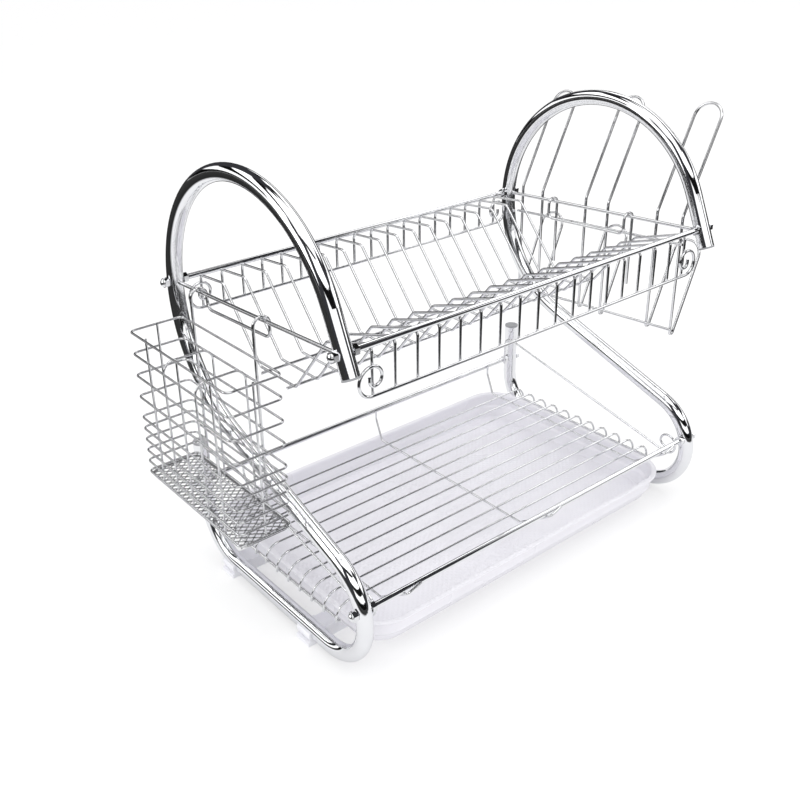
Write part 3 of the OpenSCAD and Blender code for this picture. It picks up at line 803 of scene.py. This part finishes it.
class DISHRACK_OT_welds(bpy.types.Operator):
    """Build the small fillets of metal where wires are welded across each other"""

    bl_idname = "dishrack.welds"
    bl_label = "Welds"

    def execute(self, context):
        self.rack_welds()
        self.basket_welds()
        return {"FINISHED"}

    def beads(self, name, places, body, slot, material):
        """One piece of many round beads."""
        places = np.array(places)
        radii = np.broadcast_to(bpy.context.scene.dish_rack_shape.weld_size, places.shape)
        mesh_piece(name, *ball_cluster(places, radii), body, slot, bpy.data.materials[material])

    def rack_welds(self):
        """Beads where the plate wires and the bowl wires cross the bars that carry them."""
        low, high = (np.array(c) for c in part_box("plate_wires"))
        radius = PLATE_WIRE_RADIUS
        xs = np.linspace(low[0] + radius, high[0] - radius, PLATE_WIRES)
        valley_low, valley_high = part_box("valley_bars")
        bar = (valley_high[2] - valley_low[2]) / 2
        places = [(x, y, valley_high[2]) for x in xs for y in (valley_low[1] + bar, valley_high[1] - bar)]
        for node, wire_y in (("front_curl_bar", low[1] + radius), ("rear_curl_bar", high[1] - radius)):
            bar_low, bar_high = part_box(node)
            bar_y = (bar_low[1] + bar_high[1]) / 2
            places += [(x, (bar_y + wire_y) / 2, bar_low[2] + bar) for x in xs]
        floor_low, floor_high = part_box("bowl_floor_wires")
        cross_low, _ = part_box("bowl_cross_bars")
        wire = BOWL_WIRE_RADIUS
        ys = np.linspace(floor_low[1] + wire, floor_high[1] - wire, BOWL_WIRES)
        reach = -(cross_low[0] + CROSS_BAR_RADIUS)
        places += [(x, y, floor_high[2] - 2 * wire) for x in (-reach, 0, reach) for y in ys]
        end_low, end_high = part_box("bowl_end_bars")
        places += [(s * end_high[0], y, (end_low[2] + end_high[2]) / 2) for s in (-1, 1) for y in ys]
        self.beads("rack_welds", places, "rack", "wire", "chrome_wire")

    def basket_welds(self):
        """Beads where the basket's rings cross its outer uprights."""
        ring_low, ring_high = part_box("basket_rings")
        upright_low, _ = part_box("basket_uprights")
        wire = BASKET_WIRE_RADIUS
        first, last = ring_low[2] + wire, ring_high[2] - wire
        close = first + BASKET_CLOSE_PITCH * np.arange(BASKET_CLOSE_RINGS)
        open_rings = np.linspace(close[-1], last, BASKET_OPEN_RINGS + 1)[1:]
        length = ring_high[1] - ring_low[1] - 2 * wire
        ys = [ring_low[1] + wire + f * length for f in (1 / 6, 1 / 2, 5 / 6)]
        x = (ring_low[0] + upright_low[0]) / 2 + wire
        places = [(x, y, z) for y in ys for z in (*close, *open_rings)]
        self.beads("basket_welds", places, "cutlery_basket", "basket_wire", "chrome_basket_wire")


class DISHRACK_OT_stage(bpy.types.Operator):
    """Set the camera, the floor and the soft studio lights"""

    bl_idname = "dishrack.stage"
    bl_label = "Camera, floor and lights"

    def execute(self, context):
        stage = context.scene.dish_rack_stage
        self.camera(stage)
        self.floor(stage)
        self.lights(stage)
        context.scene.view_settings.view_transform = "Standard"
        return {"FINISHED"}

    def camera(self, stage):
        """The view's frame: forward from heading and pitch, then rolled about it."""
        yaw, pitch, roll = stage.camera_heading, stage.camera_pitch, stage.camera_roll
        forward = Vector((math.sin(yaw) * math.cos(pitch), math.cos(yaw) * math.cos(pitch), -math.sin(pitch)))
        right = Vector((math.cos(yaw), -math.sin(yaw), 0))
        up = right.cross(forward)
        right, up = (
            right * math.cos(roll) + up * math.sin(roll),
            up * math.cos(roll) - right * math.sin(roll),
        )
        data = bpy.data.cameras.new("camera")
        data.lens = stage.camera_lens
        data.shift_x, data.shift_y = stage.camera_shift
        data.clip_start, data.clip_end = 0.01, 60
        camera = bpy.data.objects.new("camera", data)
        bpy.context.scene.collection.objects.link(camera)
        turn = Matrix((right, up, -forward)).transposed().to_4x4()
        camera.matrix_world = Matrix.Translation(stage.camera_place) @ turn
        bpy.context.scene.camera = camera

    def floor(self, stage):
        """A wide plain disc under the rack, just below its feet."""
        angle = np.linspace(0, 2 * np.pi, FLOOR_SIDES, endpoint=False)
        height = np.full(FLOOR_SIDES, FLOOR_HEIGHT)
        rim = np.stack([FLOOR_RADIUS * np.cos(angle), FLOOR_RADIUS * np.sin(angle), height], axis=1)
        mesh = bpy.data.meshes.new("floor")
        mesh.from_pydata(rim.tolist(), [], [list(range(FLOOR_SIDES))])
        floor = bpy.data.objects.new("floor", mesh)
        bpy.context.scene.collection.objects.link(floor)
        mesh.materials.append(self.paper(stage))

    def paper(self, stage):
        """Plain pale paper that glows a little; mirrors see it darker, and dark further off."""
        material = bpy.data.materials.new("floor_paper")
        material.use_nodes = True
        tree = material.node_tree
        shader = tree.nodes["Principled BSDF"]
        place = tree.nodes.new("ShaderNodeTexCoord").outputs["Object"]
        paper = add(tree, "ShaderNodeTexNoise", scale=3.0, detail=3.0)
        lit = [(1 - stage.floor_glow) * c for c in stage.floor_colour]
        tree.links.new(place, paper.inputs["Vector"])
        tone = mix_colour(tree, paper.outputs["Fac"], (*lit, 1), (*[0.985 * c for c in lit], 1))
        distance = tree.nodes.new("ShaderNodeVectorMath")
        distance.operation = "LENGTH"
        tree.links.new(place, distance.inputs[0])
        edge = stage.dark_floor_from
        far = map_range(tree, distance.outputs["Value"], edge, 1.25 * edge, 0.0, 1.0)
        mirrored = mix_colour(tree, far, (*stage.floor_in_mirrors, 1), (0.01, 0.01, 0.01, 1))
        in_mirror = tree.nodes.new("ShaderNodeLightPath").outputs["Is Glossy Ray"]
        tree.links.new(mix_colour(tree, in_mirror, tone, mirrored), shader.inputs["Base Color"])
        glow = mix_colour(tree, in_mirror, WHITE, BLACK)
        tree.links.new(glow, shader.inputs["Emission Color"])
        shader.inputs["Emission Strength"].default_value = stage.floor_glow
        shader.inputs["Roughness"].default_value = 0.85
        shader.inputs["Specular IOR Level"].default_value = 0.2
        return material

    def lights(self, stage):
        """A pale room with one large soft light above and one on each side."""
        self.room()
        for name, place, size, power in (
            ("top_light", (-0.2, -0.3, 1.7), 1.6, 1.0),
            ("left_light", (-1.7, 0.3, 1.0), 1.2, 0.8),
            ("right_light", (1.6, -1.2, 0.9), 1.0, 0.45),
        ):
            data = bpy.data.lights.new(name, "AREA")
            data.shape = "RECTANGLE"
            data.size, data.size_y = size, 0.7 * size
            data.energy = stage.light_power * power
            lamp = bpy.data.objects.new(name, data)
            bpy.context.scene.collection.objects.link(lamp)
            aim = Vector(LIGHT_AIM) - Vector(place)
            lamp.matrix_world = Matrix.Translation(place) @ aim.to_track_quat("-Z", "Y").to_matrix().to_4x4()

    def room(self):
        """A white room; mirrors see bright and dark bands by height, with dark upright screens among them."""
        world = bpy.data.worlds.new("studio")
        bpy.context.scene.world = world
        world.use_nodes = True
        tree = world.node_tree
        link = tree.links.new
        background = tree.nodes["Background"]
        way = tree.nodes.new("ShaderNodeSeparateXYZ")
        link(tree.nodes.new("ShaderNodeTexCoord").outputs["Generated"], way.inputs[0])
        panels = tree.nodes.new("ShaderNodeValToRGB")
        bands = panels.color_ramp
        bands.interpolation = "EASE"
        for end, at, tone in ((0, 0.0, ROOM_LOWEST), (1, 1.0, ROOM_HIGHEST)):
            bands.elements[end].position, bands.elements[end].color = at, (tone, tone, tone, 1)
        for at, tone in ROOM_BANDS:
            bands.elements.new(at).color = (tone, tone, tone, 1)
        link(map_range(tree, way.outputs["Z"], -1.0, 1.0, 0.0, 1.0), panels.inputs[0])
        heading = math_node(tree, "ARCTAN2", way.outputs["Y"], way.outputs["X"])
        turned = math_node(tree, "ADD", math_node(tree, "MULTIPLY", heading, DARK_SCREENS), SCREEN_TURN)
        screens = map_range(tree, math_node(tree, "SINE", turned), -0.55, -0.3, 0.0, 1.0)
        toned = mix_colour(tree, screens, SCREEN_TONE, panels.outputs[0])
        in_mirror = tree.nodes.new("ShaderNodeLightPath").outputs["Is Glossy Ray"]
        seen = mix_colour(tree, in_mirror, WHITE, toned)
        link(seen, background.inputs["Color"])
        background.inputs["Strength"].default_value = bpy.context.scene.dish_rack_stage.room_strength


class DISHRACK_PT_panel(bpy.types.Panel):
    """The steps and settings of the dish drying rack"""

    bl_idname = "DISHRACK_PT_panel"
    bl_label = "Dish drying rack"
    bl_space_type = "VIEW_3D"
    bl_region_type = "UI"
    bl_category = "Dish rack"

    def draw(self, context):
        layout = self.layout
        for step in STEPS:
            layout.operator(step.bl_idname)
        for settings in ("dish_rack_finish", "dish_rack_shape", "dish_rack_stage"):
            group = getattr(context.scene, settings)
            box = layout.box()
            for name in group.bl_rna.properties.keys():
                if name not in ("rna_type", "name"):
                    box.prop(group, name)


STEPS = (
    DISHRACK_OT_chrome,
    DISHRACK_OT_plugs,
    DISHRACK_OT_feet,
    DISHRACK_OT_tray,
    DISHRACK_OT_mesh,
    DISHRACK_OT_welds,
    DISHRACK_OT_stage,
)
GROUPS = {
    "dish_rack_finish": DishRackFinish,
    "dish_rack_shape": DishRackShape,
    "dish_rack_stage": DishRackStage,
}


def register():
    """Registers the settings, the steps and the panel."""
    for name, group in GROUPS.items():
        bpy.utils.register_class(group)
        setattr(bpy.types.Scene, name, PointerProperty(type=group))
    for step in (*STEPS, DISHRACK_PT_panel):
        bpy.utils.register_class(step)


def unregister():
    """Takes the panel, the steps and the settings away again."""
    for step in reversed((*STEPS, DISHRACK_PT_panel)):
        bpy.utils.unregister_class(step)
    for name, group in GROUPS.items():
        delattr(bpy.types.Scene, name)
        bpy.utils.unregister_class(group)


def main():
    """Builds the rack's looks in order."""
    register()
    for step in STEPS:
        section, name = step.bl_idname.split(".")
        getattr(getattr(bpy.ops, section), name)()


if __name__ == "__main__":
    main()
